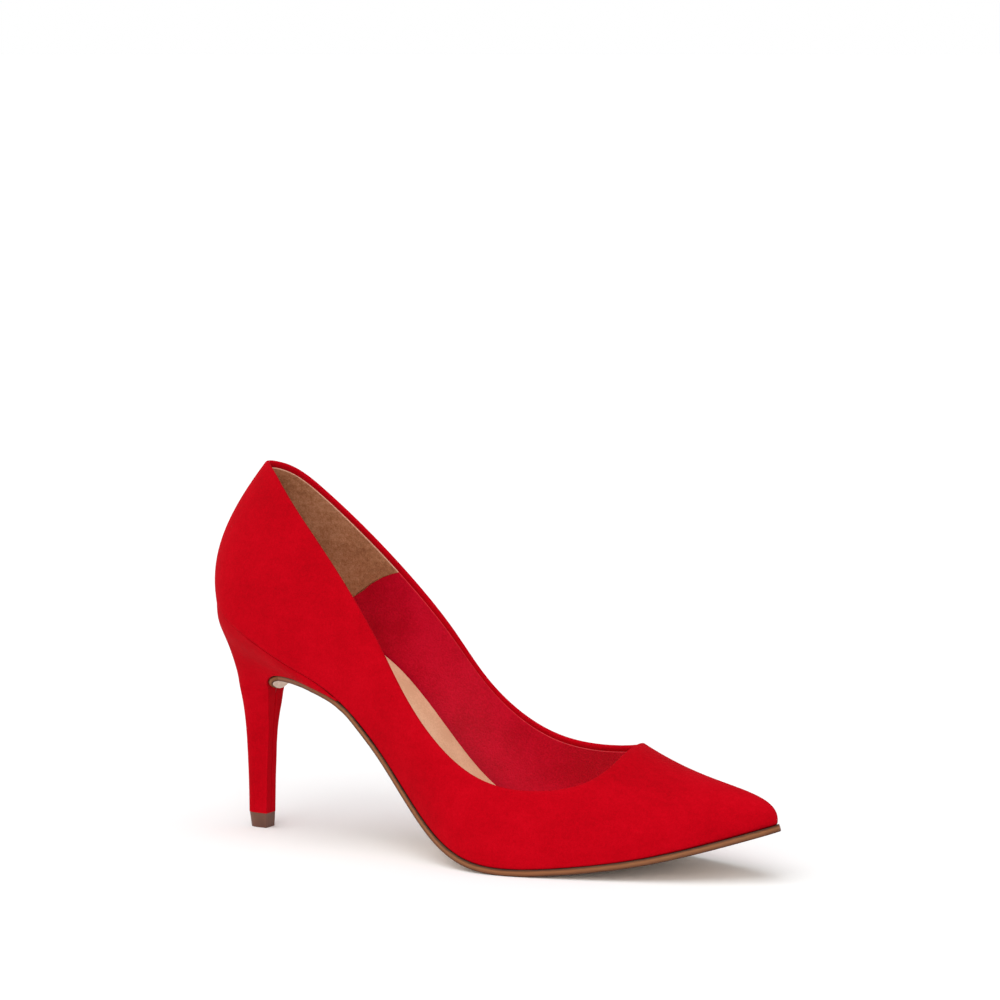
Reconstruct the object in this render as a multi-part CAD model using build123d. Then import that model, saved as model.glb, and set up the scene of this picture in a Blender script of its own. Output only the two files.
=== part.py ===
from build123d import *
import os
import numpy as np

# A right-foot court shoe on a stiletto heel, modelled as the pieces it is lasted from.
# While modelling, x = 0 is the back of the heel seat, +X points to the toe, -Y is the outer
# side of the foot, +Z is up and z = 0 is the ground.  ORIGIN moves the finished pieces so that
# the row's origin is the middle of the shoe's plan box, on the ground.  Lengths are mm.
ORIGIN = (118.8, -0.3, 0.0)

# Stations round the last, from the back seam to the toe tip: feather x, outer and inner half
# width, then topline outer x, inner x, half width, outer z, inner z.
STATIONS = np.array([
    (0.0, 0.0, 0.0, 20.7, 20.7, 0.0, 145.0, 145.0),
    (6.0, 14.5, 14.0, 25.8, 25.5, 7.3, 143.2, 142.9),
    (24.0, 23.8, 23.8, 38.2, 37.5, 14.8, 133.5, 132.9),
    (50.0, 26.5, 24.6, 60.0, 60.0, 20.6, 112.0, 112.0),
    (76.0, 26.2, 20.6, 84.0, 86.5, 25.6, 84.0, 83.4),
    (103.0, 28.8, 22.6, 101.0, 104.0, 29.3, 60.6, 60.0),
    (137.0, 38.0, 33.9, 131.0, 134.0, 32.0, 35.6, 41.4),
    (172.0, 32.3, 33.5, 157.8, 165.0, 29.0, 31.6, 38.4),
    (205.0, 21.9, 22.0, 173.5, 177.5, 18.8, 36.3, 41.2),
    (228.0, 9.8, 10.2, 180.0, 181.0, 7.6, 43.0, 44.6),
    (238.0, 0.0, 0.0, 180.8, 180.8, 0.0, 45.4, 45.4),
])
# Side profile of the feather line, where the lasted upper meets the sole.
SOLE_X = np.array([0.0, 22.0, 45.0, 65.0, 85.0, 105.0, 117.0, 131.0, 148.0, 168.0, 195.0, 238.0])
SOLE_Z = np.array([90.8, 80.1, 69.5, 60.0, 42.0, 19.8, 10.5, 4.5, 2.6, 4.0, 8.3, 20.7])
TOE_SWING = 7.0          # how far the toe tip leans to the inner side
THROAT_SWING = 3.6       # how far the throat leans to the inner side
BACK_BULGE = (13.5, 8.2)  # pull of the two wall handles behind the heel
SIDE_BULGE = (2.5, 2.0)  # pull of the two wall handles at the sides
TOE_RISE = (15.0, 3.0)   # height and reach of the toe wall handle
THROAT_PULL = (28.0, 9.0)  # reach and drop of the vamp handle

# Thicknesses, measured inwards from the outer face of the upper.
SUEDE = 1.2
FOLDED_EDGE = 2.1
FOLD_DEPTH = 8.0
STIFFENER = (1.25, 2.05)
TAPE = (2.13, 2.4)
LINING = (2.45, 3.2)
LINING_DROP = 2.0        # the lining is trimmed this far under the folded edge
MARGIN = 12.0            # lasting margin turned under the insole
TOE_MARGIN = 4.5
BOARD = (1.25, 3.0)      # heights above the feather line
FOAM = (3.05, 4.75)
SOCK = (4.8, 5.6)
FILLER = (0.05, 1.15)
FILLER_RUN = (130.0, 218.0)
BOARD_JOINT = (134.0, 134.3)  # x where the shank board ends and where the insole board starts
SHANK_STEEL = (0.05, 1.1)
SHANK_OUTLINE = [(30.0, 4.0), (36.0, 7.0), (80.0, 6.2), (121.0, 7.5), (127.0, 4.5)]
RIB_GROOVE = [(44.0, 0.6), (47.0, 1.6), (112.0, 1.6), (115.0, 0.6)]
RIB_TOP = 1.85
RIB_FLAT = 1.13          # height of the crest where the rib has run out
RIB_HALF = (1.2, 1.4)    # half width at the crest and at the foot
RIB_RUN = [(45.5, 0.0), (48.5, 1.0), (110.5, 1.0), (113.5, 0.0)]  # x, share of full height
RIVET_X = (39.0, 119.0)
RIVET_RADIUS = 1.4
RIVET_HEAD = (2.6, 0.7)  # radius and thickness
WALL_GAP = 3.15          # inset of the insole boards from the feather line
SOCK_GAP = 3.6
OUTSOLE_WAIST = 2.2
OUTSOLE_TREAD = 2.6
OUTSOLE_TOE_EDGE = 1.4   # how far the outsole shows beyond the toe
OUTSOLE_TIP_HALF = 0.4   # least half width of a section, at the toe tip

# Places round the last, as shares of one turn, where the layers of the wall end.
GRIP_END = 0.106
GRIP_LEAN = 0.0715       # how far forward the front edge of the heel grip leans, foot to top
LEAN_RUN = 0.06
WALL_FOOT = 0.06         # share of the wall's height where its inner layers start
PUFF_TOP = 0.6           # share of the wall's height where the toe puff ends
TAPE_DROPS = (7.0, 3.0)  # depth of the tape's two edges under the topline
COUNTER_END = 0.15
PUFF_REACH = 0.1
END_GAP = 0.001

# Side profile of the outsole's top face behind the ball, curling down over the heel breast.
BREAST_CURL = [(23.7, 55.8), (24.2, 58.4), (25.9, 60.6), (29.0, 61.8), (36.0, 62.4),
               (45.0, 62.3), (54.0, 61.2), (62.0, 59.4)]
# Half width of the outsole behind the waist, where it narrows to the flap on the breast.
OUTSOLE_TAPER = [(21.0, 8.0), (28.0, 8.2), (34.0, 11.4), (44.0, 17.3), (54.0, 22.0), (61.0, 24.3)]
INNER_TAPER = [(21.0, 8.0), (28.0, 8.2), (34.0, 11.0), (44.0, 16.2), (54.0, 20.0), (61.0, 21.6)]
FLAP = [(55.8, 0.8), (56.0, 2.0), (57.1, 5.0), (59.6, 7.6), (63.0, 8.5)]  # height, half width
FLAP_END = 30.0          # x where the flap has turned into the sole
TAPER_END = 70.0         # x from where the outsole follows the feather line
SIDE_EDGE = 0.3          # how far the outsole shows along the sides
OUTSOLE_TIP = 238.9
TIP_STEPS = np.array([0.0, 0.3, 0.55, 0.75, 0.9, 1.0])
# Front face of the heel, from the top piece up to the outsole flap.
BREAST_LINE = [(20.7, 4.0), (20.8, 8.0), (21.1, 20.0), (21.7, 33.0), (22.6, 45.0), (23.7, 55.8)]

# Levels down the heel: height and x of the back point, forward tilt of the level in degrees,
# then distances along the level and the half widths there.
SEAT_WIDTHS = ((2.5, 9.3), (7.0, 14.6), (16.0, 20.0), (28.0, 24.0), (50.0, 26.0), (76.0, 26.3))
STEM_WIDTHS = ((1.0, 1.9), (2.8, 2.95), (5.5, 3.25), (8.5, 3.25), (12.0, 3.25), (15.0, 3.25))
HEEL_LEVELS = [
    (93.5, 1.3, 25.5, SEAT_WIDTHS),
    (90.8, 0.0, 25.5, SEAT_WIDTHS),
    (84.0, -0.3, 21.4, ((2.2, 7.8), (6.5, 12.6), (15.0, 17.6), (28.0, 21.2), (46.0, 24.0), (74.0, 26.2))),
    (75.0, 1.8, 16.0, ((1.8, 5.4), (5.5, 8.8), (13.0, 12.3), (27.0, 15.8), (44.0, 19.0), (69.0, 26.0))),
    (66.5, 4.6, 10.9, ((1.5, 3.9), (4.5, 6.2), (11.0, 8.4), (24.0, 10.4), (42.0, 14.5), (64.5, 25.0))),
    (58.0, 6.8, 0.0, ((1.3, 3.2), (4.0, 5.4), (9.5, 6.6), (15.0, 7.2), (21.0, 7.9), (28.0, 9.0))),
    (50.0, 8.3, 0.0, ((1.2, 2.6), (3.4, 4.1), (7.0, 4.8), (12.0, 5.0), (16.0, 5.0), (20.0, 5.0))),
    (42.0, 9.4, 0.0, ((1.1, 2.1), (3.0, 3.2), (6.0, 3.6), (10.0, 3.6), (14.0, 3.6), (18.0, 3.6))),
    (30.0, 10.3, 0.0, STEM_WIDTHS),
    (18.0, 10.8, 0.0, STEM_WIDTHS),
    (5.8, 11.0, 0.0, STEM_WIDTHS),
]
COVER = 0.9
TOP_PIECE_HEIGHT = 5.75
# The two ends of the top piece: height, back x, front x, half width.
TOP_PIECE_ENDS = ((0.0, 12.1, 20.3, 3.0), (TOP_PIECE_HEIGHT, 11.2, 20.6, 3.15))
STEM_X = 16.0            # axis of the dowel in the stem
DOWEL_RADIUS = 1.5
DOWEL_BORE = 0.9
DOWEL_TOP = 50.0
PIN_RADIUS = 0.85
PIN_HEAD_RADIUS = 2.0
PIN_HEAD = (2.4, 3.4)    # heights of the pin's head inside the top piece
PIN_TOP = 20.0
SCREW_HEAD = (3.2, (25.9, 0, 82.3), (25.3, 0, 81.1))   # radius, outer end, inner end
SCREW_BODY = (1.9, (25.5, 0, 81.5), (16.8, 0, 62.8))
NAIL_PLACES = ((13.0, -5.0), (13.0, 5.0), (34.0, -9.5), (34.0, 9.5))
NAIL_RADIUS = 0.75
NAIL_DEPTH = 11.0
NAIL_HEAD = (1.9, 0.7)   # radius and thickness
SUNK = 0.05              # nail heads lie this far under the top of the board
GAP = 0.05               # glue line between neighbouring pieces


def natural_spline(knots, values, at):
    """Cubic spline through (knots, values), running on straight past both ends."""
    count = len(knots)
    step = np.diff(knots)
    matrix = np.eye(count)
    right = np.zeros(count)
    for i in range(1, count - 1):
        matrix[i, i - 1:i + 2] = step[i - 1], 2 * (step[i - 1] + step[i]), step[i]
        right[i] = 6 * ((values[i + 1] - values[i]) / step[i]
                        - (values[i] - values[i - 1]) / step[i - 1])
    bend = np.linalg.solve(matrix, right)
    at = np.asarray(at, float)
    i = np.clip(np.searchsorted(knots, at, side="right") - 1, 0, count - 2)
    a = (knots[i + 1] - at) / step[i]
    b = 1 - a
    inside = (a * values[i] + b * values[i + 1]
              + ((a**3 - a) * bend[i] + (b**3 - b) * bend[i + 1]) * step[i]**2 / 6)
    slope_0 = (values[1] - values[0]) / step[0] - step[0] * bend[1] / 6
    slope_1 = (values[-1] - values[-2]) / step[-1] + step[-1] * bend[-2] / 6
    inside = np.where(at < knots[0], values[0] + slope_0 * (at - knots[0]), inside)
    return np.where(at > knots[-1], values[-1] + slope_1 * (at - knots[-1]), inside)


def closed_spline(knots, points, at):
    """Periodic cubic spline; the last knot is the first one again, one turn later."""
    count = len(points)
    step = np.diff(knots)
    matrix = np.zeros((count, count))
    right = np.zeros_like(points)
    for i in range(count):
        after = (i + 1) % count
        matrix[i, i - 1] += step[i - 1]
        matrix[i, i] += 2 * (step[i - 1] + step[i])
        matrix[i, after] += step[i]
        right[i] = 6 * ((points[after] - points[i]) / step[i]
                        - (points[i] - points[i - 1]) / step[i - 1])
    bend = np.linalg.solve(matrix, right)
    at = np.mod(at - knots[0], knots[-1] - knots[0]) + knots[0]
    i = np.clip(np.searchsorted(knots, at, side="right") - 1, 0, count - 1)
    after = (i + 1) % count
    a = ((knots[i + 1] - at) / step[i])[..., None]
    b = 1 - a
    square = (step[i]**2)[..., None]
    return (a * points[i] + b * points[after]
            + ((a**3 - a) * bend[i] + (b**3 - b) * bend[after]) * square / 6)


def sole_height(x):
    return natural_spline(SOLE_X, SOLE_Z, x)


def control_rows():
    """Four closed rows of control points: feather line, two rows of handles, topline."""
    count = len(STATIONS)
    order = np.r_[np.arange(count), np.arange(count - 2, 0, -1)]
    side = np.r_[-np.ones(count), np.ones(count - 2)]
    rows = STATIONS[order]
    outer = side < 0
    feather_width = np.where(outer, rows[:, 1], rows[:, 2])
    feather = np.stack([rows[:, 0], side * feather_width, sole_height(rows[:, 0])], -1)
    top = np.stack([np.where(outer, rows[:, 3], rows[:, 4]), side * rows[:, 5],
                    np.where(outer, rows[:, 6], rows[:, 7])], -1)
    feather[:, 1] += TOE_SWING * np.clip((feather[:, 0] - 120) / 118, 0, 1)**1.5
    top[:, 1] += THROAT_SWING * np.clip((top[:, 0] - 100) / 80, 0, 1)**1.5

    sideways = np.zeros_like(feather)
    sideways[:, 1] = np.where(feather_width > 0, side, 0)
    at_back = np.exp(-(rows[:, 0] / 15)**2)[:, None]
    backwards = np.array([-1.0, 0.0, 0.0]) * at_back
    rise = top - feather
    low = feather + rise * 0.33 + sideways * SIDE_BULGE[0] * (1 - at_back) + backwards * BACK_BULGE[0]
    high = top - rise * 0.33 + sideways * SIDE_BULGE[1] * (1 - at_back) + backwards * BACK_BULGE[1]

    reach = np.hypot(rise[:, 0], rise[:, 1])
    pull = np.minimum(1, reach / 60)[:, None]
    forward = np.where(feather_width > 0, 0.5, 1.0)[:, None]
    toe_low = feather + sideways * 1.5
    toe_low = toe_low + np.concatenate([TOE_RISE[1] * forward, 0 * forward,
                                        TOE_RISE[0] + 0 * forward], -1)
    ahead = -rise / np.maximum(1e-6, reach)[:, None]
    ahead[:, 2] = 0
    toe_high = top + (ahead * THROAT_PULL[0] - np.array([0, 0, THROAT_PULL[1]])) * pull
    t = np.clip((rows[:, 0] - 150) / 88, 0, 1)
    in_toe = (t * t * (3 - 2 * t))[:, None]
    low = low * (1 - in_toe) + toe_low * in_toe
    high = high * (1 - in_toe) + toe_high * in_toe

    steps = [np.linalg.norm(np.roll(row, -1, 0) - row, axis=1) for row in (feather, top)]
    knots = np.r_[0, np.cumsum((steps[0] + steps[1]) / 2)]
    return (feather, low, high, top), knots


ROWS, KNOTS = control_rows()
TOE = KNOTS[len(STATIONS) - 1] / KNOTS[-1]


def wall_point(u, v):
    """Outer face of the upper: u goes once round the last, v from feather line to topline."""
    u = np.asarray(u, float)
    v = np.asarray(v, float)[..., None]
    f, a, b, t = [closed_spline(KNOTS, row, u * KNOTS[-1]) for row in ROWS]
    f[..., 2] = sole_height(f[..., 0])
    return f * (1 - v)**3 + 3 * a * v * (1 - v)**2 + 3 * b * v * v * (1 - v) + t * v**3


def wall_normal(u, v):
    step = 1e-4
    along = wall_point(u + step, v) - wall_point(u - step, v)
    up = wall_point(u, v + step) - wall_point(u, v - step)
    across = np.cross(along, up)
    return across / np.linalg.norm(across, axis=-1)[..., None]


def skived(u):
    """The layers are skived to 70 percent of their thickness at the toe tip."""
    return 1 - 0.3 * np.exp(-((u - TOE) / 0.03)**2)


def layer(u, v, depth):
    v = np.asarray(v, float)
    u = np.broadcast_to(np.asarray(u, float), v.shape)
    depth = np.broadcast_to(np.asarray(depth, float), v.shape)
    return wall_point(u, v) - wall_normal(u, v) * (depth * skived(u))[..., None]


def place_below_top(u, drop):
    """The v of the point this far under the topline."""
    v = np.linspace(0, 1, 61)
    run = np.linalg.norm(np.diff(wall_point(np.full(61, u), v), axis=0), axis=1)
    length = np.r_[0, np.cumsum(run)]
    return float(np.interp(length[-1] - drop, length, v))


def place_above_feather(u, rise):
    v = np.linspace(0, 1, 61)
    run = np.linalg.norm(np.diff(wall_point(np.full(61, u), v), axis=0), axis=1)
    return float(np.interp(rise, np.r_[0, np.cumsum(run)], v))


def sole_point(x, y, height):
    """A point over plan point (x, y), this height above the feather surface and square to it."""
    slope = (sole_height(x + 0.1) - sole_height(x - 0.1)) / 0.2
    size = np.sqrt(1 + slope**2)
    return np.stack([x - slope / size * height, y + 0 * x, sole_height(x) + height / size], -1)


def feather_inset(u, inset):
    """Plan points of the feather line moved inwards."""
    u = np.asarray(u, float)
    here = wall_point(u, 0 * u)[..., :2]
    along = wall_point(u + 1e-4, 0 * u)[..., :2] - wall_point(u - 1e-4, 0 * u)[..., :2]
    along = along / np.linalg.norm(along, axis=-1)[..., None]
    inwards = np.stack([-along[..., 1], along[..., 0]], -1)
    return here + inwards * np.asarray(inset, float)[..., None]


def flattened(curves):
    """The same curves pressed onto their common best plane."""
    points = np.vstack(curves)
    centre = points.mean(axis=0)
    square = np.linalg.svd(points - centre)[2][2]
    return [curve - ((curve - centre) @ square)[:, None] * square for curve in curves]


def loop(curves):
    edges = []
    for curve in curves:
        points = [Vector(*point) for point in curve]
        edges.append(Edge.make_line(*points) if len(points) == 2 else Edge.make_spline(points))
    return Wire(edges)


def join(first, second):
    return np.array([first[-1], second[0]])


def spread_places(count):
    """Places round the last, closer together near the toe tip and the back seam."""
    fine = np.linspace(0, 1, 2001)
    crowd = 1 + 3 * np.exp(-((fine - TOE) / 0.03)**2) + 1.5 * np.exp(-(fine / 0.04)**2)
    crowd = crowd + 1.5 * np.exp(-((fine - 1) / 0.04)**2)
    total = np.r_[0, np.cumsum((crowd[1:] + crowd[:-1]) / 2)]
    return np.interp(np.linspace(0, total[-1], count), total, fine)


PLACES = spread_places(65)


def places_between(start, end):
    """The shared places from start to end, so that neighbouring layers nest facet by facet."""
    around = np.r_[PLACES[:-1] - 1, PLACES]
    inside = around[(around > start + 0.004) & (around < end - 0.004)]
    return np.r_[start, inside, end]


def wall_band(start, end, foot, top, depths, lean=(0.0, 0.0)):
    """A layer of the wall between two depths; each end leans by its share of a turn."""
    sections = []
    places = places_between(start, end)
    for number, u in enumerate(places):
        v = np.linspace(foot(u), top(u), 7)
        slope = (lean[0] * max(0.0, 1 - (u - start) / LEAN_RUN)
                 + lean[1] * max(0.0, 1 - (end - u) / LEAN_RUN))
        leaning = u + slope * (v - 0.5)
        face = layer(leaning, v, depths[0])
        back = layer(leaning[::-1], v[::-1], depths[1])
        curves = [face, join(face, back), back, join(back, face)]
        if number in (0, len(places) - 1):
            curves = flattened(curves)
        sections.append(loop(curves))
    return Solid.make_loft(sections, True)


def side_profile(low, high):
    """A face in the XZ plane between two lines of (x, z) points that run the same way."""
    wires = [Edge.make_spline([Vector(x, 0, z) for x, z in line]) for line in (low, high)]
    ends = [Edge.make_line(Vector(low[i][0], 0, low[i][1]), Vector(high[i][0], 0, high[i][1]))
            for i in (0, -1)]
    return Face(Wire(wires + ends))


def across(face, reach=60.0):
    """The face extruded to both sides of the XZ plane."""
    return Solid.extrude(face.moved(Location((0, -reach, 0))), Vector(0, 2 * reach, 0))


def upright(outline, bottom=-20.0, top=170.0):
    """A prism standing on a closed plan outline."""
    points = [Vector(x, y, bottom) for x, y in outline]
    return Solid.extrude(Face(Wire([Edge.make_spline(points, periodic=True)])),
                         Vector(0, 0, top - bottom))


def upright_polygon(corners, bottom=-20.0, top=170.0):
    points = [Vector(x, y, bottom) for x, y in corners]
    edges = [Edge.make_line(a, b) for a, b in zip(points, points[1:] + points[:1])]
    return Solid.extrude(Face(Wire(edges)), Vector(0, 0, top - bottom))


def mirrored(corners):
    """A closed outline from its outer half, listed from the back to the front."""
    return [(x, -y) for x, y in corners] + [(x, y) for x, y in corners[::-1]]


def inset_prism(inset):
    places = PLACES[:-1]
    return upright(feather_inset(places, inset * skived(places)))


def sole_slab(heights, start, end):
    x = np.linspace(start, end, 25)
    lines = [sole_point(x, 0.0, height)[:, [0, 2]] for height in heights]
    return across(side_profile(*lines))


def rod(radius, start, end):
    direction = Vector(*end) - Vector(*start)
    return Solid.make_cylinder(radius, direction.length, Plane(Vector(*start), z_dir=direction))


# ---------------------------------------------------------------- pieces of the wall

def upper():
    """Suede wall with its folded topline edge and its margin turned under the insole."""
    sections = []
    for number, u in enumerate(PLACES):
        rim = place_below_top(u, FOLDED_EDGE / 2)
        fold = place_below_top(u, FOLD_DEPTH)
        foot = place_above_feather(u, SUEDE)
        margin = MARGIN - (MARGIN - TOE_MARGIN) * np.exp(-((u - TOE) / 0.05)**2)
        inner = feather_inset(u, margin)
        outside = layer(u, np.linspace(0, rim, 10), 0)
        crown = layer(u, [1.0], FOLDED_EDGE / 2)
        turned = layer(u, np.linspace(rim, fold, 4), FOLDED_EDGE)
        inside = layer(u, np.linspace(fold, foot, 8), SUEDE)
        over = np.vstack([outside[-1:], crown, turned[:1]])
        edge = np.array([sole_point(inner[0], inner[1], SUEDE), sole_point(inner[0], inner[1], 0.0)])
        curves = [outside, over, turned, join(turned, inside), inside, join(inside, edge), edge,
                  join(edge, outside)]
        if number in (0, len(PLACES) - 1):
            seam = -GAP if number == 0 else GAP
            curves = [np.column_stack([c[:, 0], np.full(len(c), seam), c[:, 2]]) for c in curves]
        sections.append(loop(curves))
    return Solid.make_loft(sections, True)


def wall_foot(u):
    return WALL_FOOT


def lining_top(u):
    return place_below_top(u, LINING_DROP)


def puff_top(u):
    return PUFF_TOP


def tape_foot(u):
    return place_below_top(u, TAPE_DROPS[0])


def tape_top(u):
    return place_below_top(u, TAPE_DROPS[1])


def stiffener_top(u):
    return place_below_top(u, FOLD_DEPTH + 0.5)


def heel_grip():
    return wall_band(-GRIP_END, GRIP_END, wall_foot, lining_top, LINING, (-GRIP_LEAN, GRIP_LEAN))


def vamp_lining():
    start = GRIP_END + END_GAP
    return wall_band(start, 1 - start, wall_foot, lining_top, LINING, (GRIP_LEAN, -GRIP_LEAN))


def heel_counter():
    return wall_band(-COUNTER_END, COUNTER_END, wall_foot, stiffener_top, STIFFENER)


def side_interlining(start, end):
    return wall_band(start, end, wall_foot, stiffener_top, STIFFENER)


def toe_puff():
    return wall_band(TOE - PUFF_REACH, TOE + PUFF_REACH, wall_foot, puff_top, STIFFENER)


def topline_tape():
    return wall_band(END_GAP, 1 - END_GAP, tape_foot, tape_top, TAPE)


# ---------------------------------------------------------------- the heel

def heel_line(level, inset):
    """Half outline of one level of the heel: points on the outer side, back to front."""
    height, x_back, tilt, widths = level
    slope = np.radians(tilt)
    points = [(inset, 0.0)]
    for distance, width in widths:
        points.append((distance + inset * (1 - distance / widths[-1][0]), max(0.8, width - inset)))
    side = []
    for distance, width in points:
        side.append((x_back + distance * np.cos(slope), -width, height - distance * np.sin(slope)))
    return np.array(side)


def heel_body(inset):
    sections = []
    for level in HEEL_LEVELS:
        side = heel_line(level, inset)
        other = side[:0:-1] * np.array([1, -1, 1])
        outline = np.vstack([side[::-1], other[::-1]])
        sections.append(loop([outline, np.array([outline[-1], outline[0]])]))
    return Solid.make_loft(sections, True)


def above_seat(clearance):
    x = np.linspace(-25, 90, 30)
    seat = np.stack([x, sole_height(x) - clearance], -1)
    return across(side_profile(seat, [(p[0], 150.0) for p in seat]))


def outsole_line():
    """Top face of the outsole in side view, from the flap on the breast to the toe."""
    ahead = [(x, float(sole_height(x))) for x in (71.0, 78.0, 85.0, 95.0, 105.0, 115.0, 125.0, 135.0,
                                                  145.0, 160.0, 175.0, 195.0, 218.0, OUTSOLE_TIP)]
    knots = np.array(BREAST_CURL + ahead)
    run = np.r_[0, np.cumsum(np.linalg.norm(np.diff(knots, axis=0), axis=1))]
    s = np.r_[np.linspace(0, 18, 19), np.linspace(22, run[-1] - 8, 44), run[-1] - 6 + 6 * TIP_STEPS]
    return np.stack([natural_spline(run, knots[:, 0], s), natural_spline(run, knots[:, 1], s)], -1)


def offset_line(line, distance):
    along = np.gradient(line, axis=0)
    along = along / np.linalg.norm(along, axis=1)[:, None]
    return line + np.stack([along[:, 1], -along[:, 0]], -1) * np.asarray(distance)[..., None]


def under_arch(breast_shift, line_shift):
    """Everything in front of the heel breast and below the outsole's top face."""
    line = offset_line(outsole_line(), np.full(len(outsole_line()), line_shift))
    line = line[line[:, 0] < 90]
    breast = np.array(BREAST_LINE) + np.array([breast_shift, 0.0])
    breast = breast[breast[:, 1] < line[0][1] - 0.8]
    curve = Edge.make_spline([Vector(x, 0, z) for x, z in line])
    corner = [tuple(line[-1]), (line[-1][0], -10.0), (breast[0][0], -10.0)]
    corner = corner + [tuple(p) for p in breast] + [tuple(line[0])]
    lines = [Edge.make_line(Vector(a[0], 0, a[1]), Vector(b[0], 0, b[1]))
             for a, b in zip(corner[:-1], corner[1:])]
    return across(Face(Wire([curve] + lines)))


def heel_screw():
    return rod(*SCREW_HEAD).fuse(rod(*SCREW_BODY))


def heel_nails():
    nails = []
    for x, y in NAIL_PLACES:
        top = sole_point(np.array(x), y, BOARD[1] - SUNK)
        under_head = sole_point(np.array(x), y, BOARD[1] - SUNK - NAIL_HEAD[1])
        point = sole_point(np.array(x), y, -NAIL_DEPTH)
        nails.append(rod(NAIL_HEAD[0], top, under_head).fuse(rod(NAIL_RADIUS, under_head, point)))
    return Compound(nails)


def heel_dowel():
    tube = rod(DOWEL_RADIUS, (STEM_X, 0, TOP_PIECE_HEIGHT + GAP), (STEM_X, 0, DOWEL_TOP))
    return tube - rod(DOWEL_BORE, (STEM_X, 0, 0), (STEM_X, 0, DOWEL_TOP + 5))


def top_piece_pin():
    stem = rod(PIN_RADIUS, (STEM_X, 0, PIN_HEAD[0]), (STEM_X, 0, PIN_TOP))
    return stem.fuse(rod(PIN_HEAD_RADIUS, (STEM_X, 0, PIN_HEAD[0]), (STEM_X, 0, PIN_HEAD[1])))


def heel_block(fasteners):
    block = heel_body(COVER + GAP) - above_seat(GAP) - under_arch(-COVER - GAP, -GAP)
    block = block - rod(DOWEL_RADIUS, (STEM_X, 0, 0), (STEM_X, 0, DOWEL_TOP + GAP))
    for fastener in fasteners:
        block = block - fastener
    return block


def heel_cover():
    skin = heel_body(0.0) - above_seat(GAP) - under_arch(0.0, -GAP)
    core = heel_body(COVER) - under_arch(-COVER, 1.5)
    return skin - core


def top_piece():
    sections = []
    for height, x_back, x_front, width in TOP_PIECE_ENDS:
        side = [(0.0, 0.0), (0.9, 0.6), (2.6, 0.92), (5.0, 1.0), (x_front - x_back, 1.0)]
        line = [(x_back + d, -w * width, height) for d, w in side]
        other = [(x, -y, z) for x, y, z in line[:0:-1]]
        outline = np.array(line[::-1] + other[::-1])
        sections.append(loop([outline, np.array([outline[-1], outline[0]])]))
    return Solid.make_loft(sections, True) - top_piece_pin()


# ---------------------------------------------------------------- the bottom

def outsole():
    """Sole unit from the flap on the heel breast to the toe, as one strip of cross sections."""
    line = outsole_line()
    thickness = np.interp(line[:, 0], [90.0, 130.0], [OUTSOLE_WAIST, OUTSOLE_TREAD])
    under = offset_line(line, thickness)
    sides = []
    for taper, sign, start, end in ((OUTSOLE_TAPER, -1, 0, TOE), (INNER_TAPER, 1, TOE, 1)):
        places = np.r_[start, PLACES[(PLACES > start) & (PLACES < end)], end]
        edge = SIDE_EDGE + (OUTSOLE_TOE_EDGE - SIDE_EDGE) * np.exp(-((places - TOE) / 0.06)**2)
        plan = feather_inset(places, -edge)
        plan = plan[plan[:, 0] > TAPER_END]
        knots = np.array([(x, sign * width) for x, width in taper] + sorted(map(tuple, plan)))
        sides.append(np.interp(line[:, 0], knots[:, 0], knots[:, 1]))
    flap = np.where(line[:, 0] < FLAP_END, np.interp(line[:, 1], *zip(*FLAP)), np.inf)
    outer_side = np.maximum(sides[0], -flap)
    inner_side = np.minimum(sides[1], flap)
    sections = []
    for top, low, outer, inner in zip(line, under, outer_side, inner_side):
        centre = (outer + inner) / 2
        half = max(OUTSOLE_TIP_HALF, (inner - outer) / 2)
        corners = np.array([(x, centre + side * half, z) for (x, z), side in
                            ((top, -1), (top, 1), (low, 1), (low, -1))])
        sections.append(loop([np.array(pair) for pair in zip(corners, np.roll(corners, -1, 0))]))
    return Solid.make_loft(sections, True)


def shank():
    """Steel strip that follows the waist, with one rib pressed up along its middle."""
    sections = []
    for x in np.linspace(SHANK_OUTLINE[0][0], SHANK_OUTLINE[-1][0], 50):
        half = np.interp(x, *zip(*SHANK_OUTLINE))
        crest = RIB_FLAT + (RIB_TOP - RIB_FLAT) * np.interp(x, *zip(*RIB_RUN))
        under, face = SHANK_STEEL
        narrow, wide = RIB_HALF
        profile = [(-half, under), (half, under), (half, face), (wide, face),
                   (narrow, crest), (-narrow, crest), (-wide, face), (-half, face)]
        corners = np.array([sole_point(x, y, height) for y, height in profile])
        sections.append(loop([np.array(pair) for pair in zip(corners, np.roll(corners, -1, 0))]))
    return Solid.make_loft(sections, True)


def bottom_filler():
    """Sheet that levels the forepart between the two sides of the lasting margin."""
    places = PLACES[:-1]
    plan = feather_inset(places, (MARGIN + 0.3) * skived(places))
    sides = [plan[places < TOE], plan[places > TOE][::-1]]
    sections = []
    for x in np.linspace(*FILLER_RUN, 30):
        outer, inner = [np.interp(x, side[:, 0], side[:, 1]) for side in sides]
        profile = [(outer, FILLER[0]), (inner, FILLER[0]), (inner, FILLER[1]), (outer, FILLER[1])]
        corners = np.array([sole_point(x, y, height) for y, height in profile])
        sections.append(loop([np.array(pair) for pair in zip(corners, np.roll(corners, -1, 0))]))
    return Solid.make_loft(sections, True)


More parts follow.
